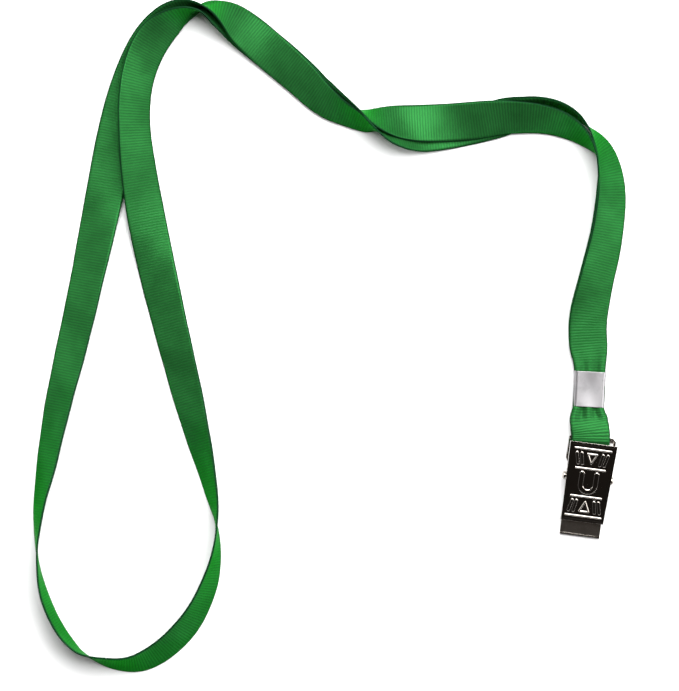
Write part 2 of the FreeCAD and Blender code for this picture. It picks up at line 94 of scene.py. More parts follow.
@dataclass
class Nodes:
    """A short hand for wiring a node tree.

    Args:
        tree: the material's or group's node tree.
    """

    tree: bpy.types.NodeTree

    def add(self, kind: str, **values: object) -> bpy.types.Node:
        """Add a node and set its properties.

        Args:
            kind: the node's type name.
            **values: property names and what they are set to.

        Returns:
            The new node.
        """
        node = self.tree.nodes.new(kind)
        for name, value in values.items():
            setattr(node, name, value)
        return node

    def link(self, source: Socket, target: Socket) -> None:
        """Join an output to an input.

        Args:
            source: the output.
            target: the input.
        """
        self.tree.links.new(source, target)

    def math(
        self, operation: str, first: Value, second: Value = None, third: Value = None,
    ) -> Socket:
        """Add a Math node.

        Args:
            operation: the node's operation.
            first: a socket or a number.
            second: a socket, a number or None.
            third: a socket, a number or None.

        Returns:
            The node's output socket.
        """
        node = self.add("ShaderNodeMath", operation=operation)
        for index, value in enumerate((first, second, third)):
            if isinstance(value, Socket):
                self.link(value, node.inputs[index])
            elif value is not None:
                node.inputs[index].default_value = value
        return node.outputs[0]

    def smooth(self, value: Socket, low: float, high: float) -> Socket:
        """Map a value smoothly to 0..1.

        Args:
            value: the value's socket.
            low: the value that gives 0.
            high: the value that gives 1.

        Returns:
            The mapped value's socket.
        """
        node = self.add("ShaderNodeMapRange", interpolation_type="SMOOTHSTEP")
        self.link(value, node.inputs["Value"])
        node.inputs["From Min"].default_value = low
        node.inputs["From Max"].default_value = high
        return node.outputs["Result"]

    def blend(self, factor: Value, first: Tint, second: Tint) -> Socket:
        """Mix two colours.

        Args:
            factor: a socket or a number.
            first: a colour or a socket, shown where the factor is 0.
            second: a colour or a socket, shown where the factor is 1.

        Returns:
            The mixed colour's socket.
        """
        node = self.add("ShaderNodeMix", data_type="RGBA")
        for name, value in (("Factor_Float", factor), ("A_Color", first), ("B_Color", second)):
            target = next(socket for socket in node.inputs if socket.identifier == name)
            if isinstance(value, Socket):
                self.link(value, target)
            else:
                target.default_value = value
        return next(socket for socket in node.outputs if socket.identifier == "Result_Color")

    def noise(self, vector: Socket, scale: float, detail: float = 2.0) -> Socket:
        """Add a noise texture.

        Args:
            vector: the coordinate it lies on.
            scale: its scale.
            detail: its detail.

        Returns:
            The noise's value, from 0 to 1.
        """
        node = self.add("ShaderNodeTexNoise")
        node.inputs["Scale"].default_value = scale
        node.inputs["Detail"].default_value = detail
        self.link(vector, node.inputs["Vector"])
        return node.outputs["Fac"]


def new_material(name: str) -> tuple[bpy.types.Material, Nodes, bpy.types.Node]:
    """Make an empty material with a Principled shader.

    Args:
        name: the material's name.

    Returns:
        The material, its wiring helper and the shader node.
    """
    material = bpy.data.materials.new(name)
    material.use_nodes = True
    material.node_tree.nodes.clear()
    nodes = Nodes(material.node_tree)
    shader = nodes.add("ShaderNodeBsdfPrincipled")
    output = nodes.add("ShaderNodeOutputMaterial")
    nodes.link(shader.outputs["BSDF"], output.inputs["Surface"])
    return material, nodes, shader


def handling_marks_group() -> bpy.types.NodeTree:
    """Build the group that gives plated metal its smudges and fine scratches.

    Returns:
        A group with inputs Coordinate, Smudge Scale, Base Roughness and Spread, and outputs
        Roughness, Height and Tarnish.
    """
    group = bpy.data.node_groups.new("handling_marks", "ShaderNodeTree")
    face = group.interface
    face.new_socket("Coordinate", in_out="INPUT", socket_type="NodeSocketVector")
    for name, value in (("Smudge Scale", 300.0), ("Base Roughness", 0.15), ("Spread", 0.1)):
        face.new_socket(name, in_out="INPUT", socket_type="NodeSocketFloat").default_value = value
    for name in ("Roughness", "Height", "Tarnish"):
        face.new_socket(name, in_out="OUTPUT", socket_type="NodeSocketFloat")
    nodes = Nodes(group)
    source = nodes.add("NodeGroupInput")
    result = nodes.add("NodeGroupOutput")
    smudge = nodes.add("ShaderNodeTexNoise")
    smudge.inputs["Detail"].default_value = 3.0
    nodes.link(source.outputs["Coordinate"], smudge.inputs["Vector"])
    nodes.link(source.outputs["Smudge Scale"], smudge.inputs["Scale"])
    spread = nodes.math("MULTIPLY", smudge.outputs["Fac"], source.outputs["Spread"])
    rough = nodes.math("ADD", spread, source.outputs["Base Roughness"])
    nodes.link(rough, result.inputs["Roughness"])
    stretched = nodes.add("ShaderNodeMapping")
    stretched.inputs["Scale"].default_value = (1.0, 0.06, 1.0)
    stretched.inputs["Rotation"].default_value = (0.0, 0.0, 0.35)
    nodes.link(source.outputs["Coordinate"], stretched.inputs["Vector"])
    scratches = nodes.noise(stretched.outputs["Vector"], 9000.0, 1.0)
    nodes.link(scratches, result.inputs["Height"])
    nodes.link(nodes.smooth(smudge.outputs["Fac"], 0.45, 0.75), result.inputs["Tarnish"])
    return group


@dataclass(frozen=True)
class MetalFinish:
    """A bare or plated metal.

    Args:
        name: the material's name.
        colour: base colour.
        tarnish: colour of the duller patches.
        roughness: the least roughness.
        spread: how much the roughness varies.
        metallic: the metallic value.
        bump: strength of the fine scratches.
    """

    name: str
    colour: Point
    tarnish: Point
    roughness: float
    spread: float
    metallic: float = 1.0
    bump: float = 0.05

    def build(self, marks: bpy.types.NodeTree) -> bpy.types.Material:
        """Make the material.

        Args:
            marks: the shared group of handling marks.

        Returns:
            The finished material.
        """
        material, nodes, shader = new_material(self.name)
        shader.inputs["Metallic"].default_value = self.metallic
        place = nodes.add("ShaderNodeTexCoord")
        group = nodes.add("ShaderNodeGroup", node_tree=marks)
        group.inputs["Base Roughness"].default_value = self.roughness
        group.inputs["Spread"].default_value = self.spread
        nodes.link(place.outputs["Object"], group.inputs["Coordinate"])
        tint = nodes.blend(group.outputs["Tarnish"], (*self.colour, 1.0), (*self.tarnish, 1.0))
        nodes.link(tint, shader.inputs["Base Color"])
        nodes.link(group.outputs["Roughness"], shader.inputs["Roughness"])
        bump = nodes.add("ShaderNodeBump")
        bump.inputs["Strength"].default_value = self.bump
        bump.inputs["Distance"].default_value = 0.02 * MM
        nodes.link(group.outputs["Height"], bump.inputs["Height"])
        nodes.link(bump.outputs["Normal"], shader.inputs["Normal"])
        return material


POLISHED_NICKEL = MetalFinish(
    "polished_nickel", (0.42, 0.39, 0.355), (0.34, 0.31, 0.28), 0.08, 0.08)
BRIGHT_TIN = MetalFinish("bright_tin", (0.235, 0.229, 0.235), (0.19, 0.185, 0.19), 0.30, 0.12)
SPRING_WIRE = MetalFinish("spring_wire", (0.42, 0.42, 0.43), (0.30, 0.29, 0.28), 0.28, 0.1)


@dataclass(frozen=True)
class RibbonFinish:
    """Ribbed polyester ribbon, patterned on the piece's own UV map, which is in millimetres.

    Args:
        name: the material's name.
        crown: colour of the ribs' crowns.
        valley_shade: colour between the ribs, darker than the crowns as painted shade in the
            hollows.
        selvage: colour of the woven edge.
        pitch: rib spacing in millimetres.
        half_width: half the ribbon's width in millimetres.
        selvage_start: how far in from the edge the woven edge begins to show, in millimetres.
        selvage_full: how far in from the edge it is at its full colour, in millimetres.
        wander: how far the ribs stray from even spacing, in millimetres.
        yarn_depth: how much single yarns stand out from the ribs.
        painted_shade_low: brightness of the darkest patches of painted shade.
        painted_light_range: how much brighter the patches of painted light are.
        sheen: the metallic value, which gives the satin its coloured gloss.
        stretch_gloss: the anisotropy of that gloss.
        roughness: the least roughness.
        roughness_range: how much the fuzz adds to it.
    """

    name: str = "ribbed_green_ribbon"
    crown: Point = (0.016, 0.118, 0.025)
    valley_shade: Point = (0.012, 0.074, 0.019)
    selvage: Point = (0.006, 0.032, 0.012)
    pitch: float = 0.85
    half_width: float = 6.0
    selvage_start: float = 0.34
    selvage_full: float = 0.10
    wander: float = 0.35
    yarn_depth: float = 1.0
    painted_shade_low: float = 0.80
    painted_light_range: float = 0.34
    sheen: float = 0.40
    stretch_gloss: float = 0.75
    roughness: float = 0.30
    roughness_range: float = 0.14

    def build(self) -> bpy.types.Material:
        """Make the material.

        Returns:
            The finished material.
        """
        material, nodes, shader = new_material(self.name)
        shader.inputs["Metallic"].default_value = self.sheen
        shader.inputs["IOR"].default_value = 1.3
        shader.inputs["Specular IOR Level"].default_value = 0.0
        shader.inputs["Specular Tint"].default_value = (0.12, 1.0, 0.15, 1.0)
        shader.inputs["Anisotropic"].default_value = self.stretch_gloss
        shader.inputs["Anisotropic Rotation"].default_value = 0.25
        tangent = nodes.add("ShaderNodeTangent", direction_type="UV_MAP", uv_map="weave")
        nodes.link(tangent.outputs["Tangent"], shader.inputs["Tangent"])
        uv = nodes.add("ShaderNodeUVMap", uv_map="weave")
        parts = nodes.add("ShaderNodeSeparateXYZ")
        nodes.link(uv.outputs["UV"], parts.inputs["Vector"])
        across, along = parts.outputs["X"], parts.outputs["Y"]

        stray = nodes.noise(uv.outputs["UV"], 0.9, 2.0)
        shifted = nodes.math("MULTIPLY_ADD", stray, self.wander, along)
        turn = nodes.math("MULTIPLY", shifted, FULL_TURN / self.pitch)
        wave = nodes.math("MULTIPLY_ADD", nodes.math("COSINE", turn), 0.5, 0.5)
        stretch = nodes.add("ShaderNodeMapping")
        stretch.inputs["Scale"].default_value = (9.0, 1.1, 1.0)
        nodes.link(uv.outputs["UV"], stretch.inputs["Vector"])
        yarn = nodes.noise(stretch.outputs["Vector"], 1.0, 3.0)
        ribs = nodes.math("MULTIPLY_ADD", nodes.math("SUBTRACT", yarn, 0.5), self.yarn_depth, wave)

        rim = nodes.math("ABSOLUTE", across)
        edge = nodes.smooth(
            rim, self.half_width - self.selvage_start, self.half_width - self.selvage_full)
        # The ribs' hollows take the darker colour: painted shade between the ribs.
        rib_shaded_cloth = nodes.blend(nodes.smooth(ribs, 0.0, 1.0), (*self.valley_shade, 1.0), (*self.crown, 1.0))
        # Slow noise patches scale the colour lighter and darker: painted light and shade across
        # the ribbon.
        patches = nodes.noise(uv.outputs["UV"], 0.07, 3.0)
        shade = nodes.math(
            "MULTIPLY_ADD", nodes.smooth(patches, 0.32, 0.68), self.painted_light_range, self.painted_shade_low)
        light_and_shade_painted = nodes.add("ShaderNodeVectorMath", operation="SCALE")
        nodes.link(rib_shaded_cloth, light_and_shade_painted.inputs[0])
        nodes.link(shade, light_and_shade_painted.inputs["Scale"])
        dressed = nodes.blend(edge, light_and_shade_painted.outputs["Vector"], (*self.selvage, 1.0))
        nodes.link(dressed, shader.inputs["Base Color"])

        fuzz = nodes.noise(uv.outputs["UV"], 14.0, 2.0)
        rough = nodes.math("MULTIPLY_ADD", fuzz, self.roughness_range, self.roughness)
        nodes.link(rough, shader.inputs["Roughness"])
        ribs_inside = nodes.math("MULTIPLY", ribs, nodes.math("SUBTRACT", 1.0, edge))
        relief = nodes.math("MULTIPLY_ADD", fuzz, 0.3, ribs_inside)
        bump = nodes.add("ShaderNodeBump")
        bump.inputs["Strength"].default_value = 0.45
        bump.inputs["Distance"].default_value = 0.09 * MM
        nodes.link(relief, bump.inputs["Height"])
        nodes.link(bump.outputs["Normal"], shader.inputs["Normal"])
        return material


# ---------------------------------------------------------------------------------------------
# Mesh helpers


def new_object(name: str, data: bpy.types.ID) -> bpy.types.Object:
    """Link a mesh or a curve to the scene as an object at the origin.

    Args:
        name: the object's name.
        data: the mesh or curve.

    Returns:
        The new object.
    """
    made = bpy.data.objects.new(name, data)
    bpy.context.scene.collection.objects.link(made)
    return made


def dress(piece: bpy.types.Object, material: bpy.types.Material, body: Body) -> None:
    """Give a piece its material and body.

    Args:
        piece: the piece.
        material: what it is made of.
        body: the body that it rides on.
    """
    piece.data.materials.clear()
    piece.data.materials.append(material)
    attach(piece, body.value)


def smooth_by_angle(mesh: bpy.types.Mesh, degrees: float) -> None:
    """Shade a mesh smooth, with sharp edges over an angle.

    Args:
        mesh: the mesh.
        degrees: the angle from which an edge stays sharp.
    """
    smooth_all(mesh)
    mesh.set_sharp_from_angle(angle=math.radians(degrees))


def smooth_all(mesh: bpy.types.Mesh) -> None:
    """Shade all of a mesh smooth.

    Args:
        mesh: the mesh.
    """
    mesh.polygons.foreach_set("use_smooth", [True] * len(mesh.polygons))


def grid_mesh(name: str, columns: int, rows: int) -> tuple[bpy.types.Mesh, np.ndarray]:
    """Make a flat grid that is then laid over a shape.

    Args:
        name: the mesh's name.
        columns: how many cells it has across.
        rows: how many cells it has along.

    Returns:
        The mesh, and its vertices' flat places, from -0.5 to 0.5 across and along.
    """
    grid = bmesh.new()
    bmesh.ops.create_grid(grid, x_segments=columns, y_segments=rows, size=0.5)
    mesh = bpy.data.meshes.new(name)
    grid.to_mesh(mesh)
    grid.free()
    flat = np.empty(len(mesh.vertices) * 3)
    mesh.vertices.foreach_get("co", flat)
    return mesh, flat.reshape(-1, 3)


def ease(share: np.ndarray) -> np.ndarray:
    """Turn a straight 0..1 ramp into one that starts and ends gently.

    Args:
        share: values from 0 to 1.

    Returns:
        The eased values.
    """
    return share * share * (3.0 - 2.0 * share)


def spline_points(rows: Sequence[Vector], resolution: int) -> np.ndarray:
    """Read points along the smooth line that a list of control points makes.

    Args:
        rows: the control points, in metres.
        resolution: how many points are read for each control point.

    Returns:
        The points in order, one a row.
    """
    curve = bpy.data.curves.new("route", "CURVE")
    curve.dimensions = "3D"
    curve.resolution_u = resolution
    spline = curve.splines.new("NURBS")
    spline.points.add(len(rows) - 1)
    for point, place in zip(spline.points, rows):
        point.co = (*place, 1.0)
    spline.order_u = 3
    spline.use_endpoint_u = True
    holder = new_object("route", curve)
    line = bpy.data.meshes.new_from_object(holder)
    points = np.empty(len(line.vertices) * 3)
    line.vertices.foreach_get("co", points)
    bpy.data.objects.remove(holder)
    bpy.data.curves.remove(curve)
    bpy.data.meshes.remove(line)
    return points.reshape(-1, 3)


def unit(vectors: np.ndarray) -> np.ndarray:
    """Scale each row to length one.

    Args:
        vectors: one vector a row.

    Returns:
        The same directions, each one unit long.
    """
    return vectors / np.linalg.norm(vectors, axis=1, keepdims=True)


@dataclass
class RibbonStretch:
    """A stretch of ribbed ribbon, woven as a grid of fine rings along its own line.

    Args:
        name: the piece's name.
        centres: control points of its middle line, in metres.
        edges: control points of its edge, in metres, one for each centre.
        gather: gives the width factor and the fold height in millimetres at a distance along.
        width: the ribbon's width in millimetres.
        thickness: its thickness in millimetres.
        rib_pitch: rib spacing in millimetres.
        rib_height: how far a rib rises and falls, in millimetres.
        rings_per_rib: rings of vertices for each rib.
        columns: cells across the ribbon.
        resolution: points read for each control point.
        folds: lengthways folds where the ribbon is squeezed.
        cup: how far the ribbon's edges curl, in millimetres.
        cup_rate: how fast the curl comes and goes, in radians for each millimetre.
        waver: height of the small unevenness, in millimetres.
        waver_rate: how fast that comes and goes, in radians for each millimetre.
        calm: length at the far end over which curl and unevenness die away, in millimetres.
        flat_rim: share of the half width that has no ribs.
        line: the middle line's points in metres, set by build.
    """

    name: str
    centres: list[Vector]
    edges: list[Vector]
    gather: Callable[[np.ndarray, float], tuple[np.ndarray, np.ndarray]]
    width: float = 12.0
    thickness: float = 0.55
    rib_pitch: float = 0.85
    rib_height: float = 0.028
    rings_per_rib: int = 4
    columns: int = 14
    resolution: int = 24
    folds: float = 2.5
    cup: float = 0.18
    cup_rate: float = 0.083
    waver: float = 0.06
    waver_rate: float = 0.37
    calm: float = 10.0
    flat_rim: float = 0.08
    line: np.ndarray = field(default=None, init=False)

    def build(self) -> bpy.types.Object:
        """Make the ribbon's mesh.

        Returns:
            The ribbon's object, with its UV map called weave in millimetres.
        """
        middle = spline_points(self.centres, self.resolution)
        rim = spline_points(self.edges, self.resolution)
        steps = np.linalg.norm(np.diff(middle, axis=0), axis=1)
        run = np.concatenate(([0.0], np.cumsum(steps))) / MM
        length = run[-1]
        rings = int(length / self.rib_pitch * self.rings_per_rib)
        along = np.linspace(0.0, length, rings + 1)
        self.line = np.stack([np.interp(along, run, middle[:, axis]) for axis in range(3)], axis=1)
        reach = rim - middle
        side = np.stack([np.interp(along, run, reach[:, axis]) for axis in range(3)], axis=1)
        heading = unit(np.gradient(self.line, axis=0))
        side = unit(side - heading * np.sum(side * heading, axis=1, keepdims=True))
        up = np.cross(heading, side)

        mesh, flat = grid_mesh(self.name, self.columns, rings)
        share = flat[:, 0] * 2.0
        ring = np.rint((flat[:, 1] + 0.5) * rings).astype(int)
        place = along[ring]

        factor, fold = self.gather(place, length)
        across = share * factor * self.width / 2.0
        body = np.clip((1.0 - np.abs(share)) / self.flat_rim, 0.0, 1.0)
        lift = self.rib_height * np.cos(FULL_TURN * place / self.rib_pitch) * body
        lift += fold * np.cos(self.folds * math.pi * share)
        calm = np.clip((length - place) / self.calm, 0.0, 1.0)
        lift += calm * self.cup * np.sin(place * self.cup_rate + 0.7) * (share ** 2 - 0.4)
        lift += calm * self.waver * np.sin(place * self.waver_rate + share * 2.1)
        spots = self.line[ring] + side[ring] * (across * MM)[:, None]
        spots += up[ring] * (lift * MM)[:, None]
        mesh.vertices.foreach_set("co", spots.ravel())

        layer = mesh.uv_layers.new(name="weave")
        corner = np.empty(len(mesh.loops), dtype=int)
        mesh.loops.foreach_get("vertex_index", corner)
        pattern = np.stack([share * self.width / 2.0, place], axis=1)[corner]
        layer.data.foreach_set("uv", pattern.ravel())
        mesh.update()
        smooth_all(mesh)
        ribbon = new_object(self.name, mesh)
        wall = ribbon.modifiers.new("thickness", "SOLIDIFY")
        wall.thickness = self.thickness * MM
        wall.offset = 0.0
        wall.use_even_offset = False
        return ribbon


# ---------------------------------------------------------------------------------------------
# The lanyard's sub-assemblies


def strand_rails(
    rows: Sequence[Row], half_width: float, floor_gap: float,
) -> tuple[list[Vector], list[Vector]]:
    """Turn a strand's rows into control points of its middle and of its edge.

    Args:
        rows: x and y in millimetres, roll in degrees and offset from the pair's middle in
            millimetres. At a roll of 0 the ribbon lies flat; at 90 its left edge is up; it keeps
            on rolling.
        half_width: half the ribbon's width in millimetres.
        floor_gap: height of the lowest strand's middle above the surface.

    Returns:
        The middle's and the edge's control points, in metres.
    """
    centres, edges = [], []
    for index, (x, y, roll, offset) in enumerate(rows):
        before = rows[max(index - 1, 0)]
        after = rows[min(index + 1, len(rows) - 1)]
        heading = Vector((after[0] - before[0], after[1] - before[1], 0.0)).normalized()
        left = Vector((-heading.y, heading.x, 0.0))
        turn = math.radians(roll)
        side = left * math.cos(turn) + Vector((0.0, 0.0, math.sin(turn)))
        face = Vector((0.0, 0.0, math.cos(turn))) - left * math.sin(turn)
        height = floor_gap + half_width * abs(math.sin(turn)) + abs(offset) * abs(math.cos(turn))
        centre = Vector((x, y, height)) + face * offset
        centres.append(centre * MM)
        edges.append((centre + side * half_width) * MM)
    return centres, edges


@dataclass
class NeckRibbon:
    """The ribbon's two neck strands and the doubled stretch round the strap bar.

    Args:
        half_width: half the ribbon's width in millimetres.
        floor_gap: height of the lowest strand's middle above the surface, in millimetres.
        neck_share: share of the width that is left inside the crimp.
        neck_grip: length of a strand that stays squeezed, in millimetres.
        neck_relax: length over which a strand then spreads, in millimetres.
        tail_grip: length of each end of the tail that stays squeezed, in millimetres.
        tail_relax: length over which the tail then spreads, in millimetres.
        pucker: height of the folds where the ribbon is squeezed, in millimetres.
        puff: height of the extra folds where the tail leaves the crimp, in millimetres.
        puff_place: where along the tail those are, in millimetres.
        puff_reach: how far they reach each way, in millimetres.
        left_rows: control rows of the strand that ends as the loop's left side.
        right_rows: control rows of the strand that ends as the loop's right side.
        tail_rows: control points of the doubled stretch.
        tail_edge_turn: how far the tail's edge is turned from the X axis, in degrees.
    """

    half_width: float = 6.0
    floor_gap: float = 0.35
    neck_share: float = 0.8
    neck_grip: float = 5.0
    neck_relax: float = 9.0
    tail_grip: float = 6.8
    tail_relax: float = 4.5
    pucker: float = 0.3
    puff: float = 0.45
    puff_place: float = 9.0
    puff_reach: float = 2.4
    # Each row is x, y, roll and offset at one control point, as strand_rails takes them.
    left_rows: tuple[Row, ...] = (
        (-3.0, 28.0, 0, 0.75), (-3.8, 36.0, 0, 0.6), (-5.3, 42.0, 3, 0.45), (-6.5, 49.5, 8, 0.45),
        (-5.8, 59.5, 24, 0.45), (-4.2, 73.0, 31, 0.45), (-4.0, 85.0, 38, 0.45),
        (-5.2, 93.6, 44, 0.45), (-7.6, 100.2, 54, 0.5), (-10.8, 104.8, 66, 0.5),
        (-14.6, 108.5, 84, 0.5), (-19.2, 111.9, 96, 0.5), (-24.6, 113.7, 101, 0.5),
        (-30.8, 114.0, 104, 0.5), (-36.0, 111.4, 135, 0.6), (-41.0, 108.7, 166, 0.6),
        (-47.0, 106.4, 178, 0.45), (-55.5, 103.3, 180, 0.45),
        (-64.0, 100.8, 185, 0.45), (-70.5, 100.0, 209, 0.5), (-76.3, 99.3, 239, 0.6),
        (-81.3, 99.9, 277, 0.6), (-86.0, 102.2, 295, 0.6), (-90.8, 103.8, 300, 0.6),
        (-95.4, 105.7, 313, 0.6), (-100.4, 108.7, 323, 0.5), (-106.0, 113.2, 332, 0.45),
        (-121.5, 123.2, 362, 0.45),
        (-134.9, 131.2, 424, 0.9), (-145.6, 128.7, 487, 0.9), (-153.3, 120.4, 515, 0.45),
        (-157.5, 109.5, 534, 0.45),
        (-160.2, 97.0, 540, 0.45), (-161.5, 83.0, 541, 0.3), (-162.3, 66.0, 548, 0.1),
        (-163.8, 44.5, 568, 0.0), (-165.6, 22.0, 573, 0.0), (-168.0, -0.5, 585, 0.0),
        (-169.0, -19.6, 597, 0.0), (-169.6, -30.7, 610, 0.0), (-169.1, -39.6, 618, 0.0),
        (-168.1, -46.5, 625, 0.0), (-165.8, -54.9, 633, 0.0), (-162.8, -61.2, 637, 0.0),
        (-158.6, -67.8, 638, 0.0), (-154.8, -71.9, 635, 0.0), (-149.3, -76.0, 627, 0.0),
        (-142.5, -76.8, 613, 0.0),
    )
    right_rows: tuple[Row, ...] = (
        (-3.0, 28.0, 0, -0.75), (-3.8, 36.0, 0, -0.6), (-5.3, 42.0, 3, -0.45),
        (-6.5, 49.5, 8, -0.45),
        (-5.8, 59.5, 24, -0.45), (-4.2, 73.0, 31, -0.45), (-4.1, 85.0, 40, -0.45),
        (-5.5, 93.2, 50, -0.45), (-8.4, 98.9, 70, -0.45), (-11.9, 102.9, 94, -0.45),
        (-16.9, 107.0, 112, -0.5), (-23.2, 109.5, 126, -0.5), (-30.0, 110.1, 134, -0.5),
        (-36.3, 109.7, 141, -0.5), (-42.5, 108.7, 150, -0.45), (-50.0, 106.7, 166, -0.45),
        (-59.0, 104.7, 180, -0.45),
        (-70.5, 102.8, 198, -0.45), (-80.0, 102.6, 236, -0.45), (-86.5, 104.5, 268, -0.45),
        (-91.5, 106.2, 288, -0.45), (-96.3, 107.8, 308, -0.45), (-100.8, 109.5, 322, -0.45),
        (-106.0, 113.2, 332, -0.45), (-121.5, 123.2, 362, -0.45), (-134.9, 131.2, 406, -0.9),
        (-145.6, 128.7, 469, -0.9), (-153.0, 120.6, 512, -0.45), (-156.6, 110.0, 508, -0.45),
        (-157.0, 98.0, 500, -0.45), (-154.8, 85.0, 504, -0.45), (-150.3, 69.0, 524, -0.4),
        (-143.6, 49.5, 548, -0.1), (-135.6, 28.5, 567, 0.0), (-127.3, 8.0, 577, 0.0),
        (-118.9, -13.0, 601, 0.0), (-115.8, -21.8, 612, 0.0), (-113.0, -31.4, 630, 0.0),
        (-112.4, -41.0, 645, 0.0), (-114.0, -52.6, 658, 0.0), (-118.9, -64.0, 666, 0.0),
        (-126.7, -72.9, 667, 0.0), (-135.5, -77.6, 657, 0.0), (-142.5, -76.8, 647, 0.0),
    )
    # From the crimp round the strap bar and back: x, y and z.
    tail_rows: tuple[Point, ...] = (
        (-3.1, 29.0, 2.35), (-2.75, 24.0, 2.35), (-2.55, 21.0, 2.4), (-2.1, 18.0, 3.2),
        (-1.3, 15.5, 3.9), (-0.8, 13.5, 4.0), (-0.55, 10.85, 3.95), (-0.55, 10.85, 0.85),
        (-0.8, 13.5, 0.8), (-1.6, 17.0, 0.85), (-2.55, 21.0, 0.85), (-3.1, 29.0, 0.85),
    )
    tail_edge_turn: float = 4.0

    def neck_gather(self, place: np.ndarray, length: float) -> tuple[np.ndarray, np.ndarray]:
        """Shape a strand that starts squeezed in the crimp.

        Args:
            place: distances along it in millimetres.
            length: its whole length in millimetres; not used here.

        Returns:
            Width factors, and fold heights in millimetres.
        """
        eased = ease(np.clip((place - self.neck_grip) / self.neck_relax, 0.0, 1.0))
        factor = self.neck_share + (1.0 - self.neck_share) * eased
        return factor, self.pucker * (1.0 - eased)

    def tail_gather(self, place: np.ndarray, length: float) -> tuple[np.ndarray, np.ndarray]:
        """Shape the tail, which is squeezed at both its ends.

        Args:
            place: distances along it in millimetres.
            length: its whole length in millimetres.

        Returns:
            Width factors, and fold heights in millimetres.
        """
        nearest = np.minimum(place, length - place)
        eased = ease(np.clip((nearest - self.tail_grip) / self.tail_relax, 0.0, 1.0))
        factor = self.neck_share + (1.0 - self.neck_share) * eased
        puff = np.exp(-((nearest - self.puff_place) / self.puff_reach) ** 2)
        return factor, self.pucker * (1.0 - eased) + self.puff * puff

    def build(self, material: bpy.types.Material) -> None:
        """Args:
            material: the ribbon's material.
        """
        tail = self.build_tail(material)
        for side, rows in (("right", self.right_rows), ("left", self.left_rows)):
            centres, edges = strand_rails(rows, self.half_width, self.floor_gap)
            stretch = RibbonStretch(f"ribbon_{side}", centres, edges, self.neck_gather)
            ribbon = stretch.build()
            dress(ribbon, material, Body.STRAP)
            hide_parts(f"neck_ribbon_{side}")
            length = float(np.sum(np.linalg.norm(np.diff(stretch.line, axis=0), axis=1)))
            LOG.info("ribbon_%s is %.4f m long", side, length)

    def build_tail(self, material: bpy.types.Material) -> bpy.types.Object:
        """Make the doubled stretch round the strap bar.

        Args:
            material: the ribbon's material.

        Returns:
            The tail's object.
        """
        turn = math.radians(self.tail_edge_turn)
        side = Vector((math.cos(turn), math.sin(turn), 0.0)) * self.half_width
        centres = [Vector(row) * MM for row in self.tail_rows]
        edges = [(Vector(row) + side) * MM for row in self.tail_rows]
        stretch = RibbonStretch(
            "ribbon_tail", centres, edges, self.tail_gather, cup=0.05, resolution=32)
        tail = stretch.build()
        dress(tail, material, Body.STRAP)
        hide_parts("tail_loop")
        return tail


@dataclass
class PressedPiece:
    """A metal piece made from its CAD shape, with its edges eased.

    Args:
        node: the CAD node.
        name: the piece's name.
        radius: radius of the eased edges in millimetres, or 0 for none.
        segments: faces across an eased edge.
        angle: the least angle of an edge that is eased, in degrees.
        merge: distance within which the CAD's doubled vertices are merged, in millimetres.
    """

    node: str
    name: str
    radius: float = 0.0
    segments: int = 3
    angle: float = 28.0
    merge: float = 0.002

    def build(self) -> bpy.types.Object:
        """Make the piece.

        Returns:
            The piece's object, which replaces the CAD node.
        """
        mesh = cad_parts[self.node].data.copy()
        mesh.name = self.name
        shape = bmesh.new()
        shape.from_mesh(mesh)
        bmesh.ops.remove_doubles(shape, verts=shape.verts, dist=self.merge * MM)
        bmesh.ops.dissolve_limit(
            shape, angle_limit=math.radians(0.5), verts=shape.verts, edges=shape.edges,
            delimit={"NORMAL"})
        shape.to_mesh(mesh)
        shape.free()
        mesh.materials.clear()
        piece = new_object(self.name, mesh)
        if self.radius > 0.0:
            bevel = piece.modifiers.new("eased_edges", "BEVEL")
            bevel.width = self.radius * MM
            bevel.segments = self.segments
            bevel.limit_method = "ANGLE"
            bevel.angle_limit = math.radians(self.angle)
            bevel.harden_normals = False
        smooth_by_angle(mesh, 35.0)
        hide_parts(self.node)
        return piece


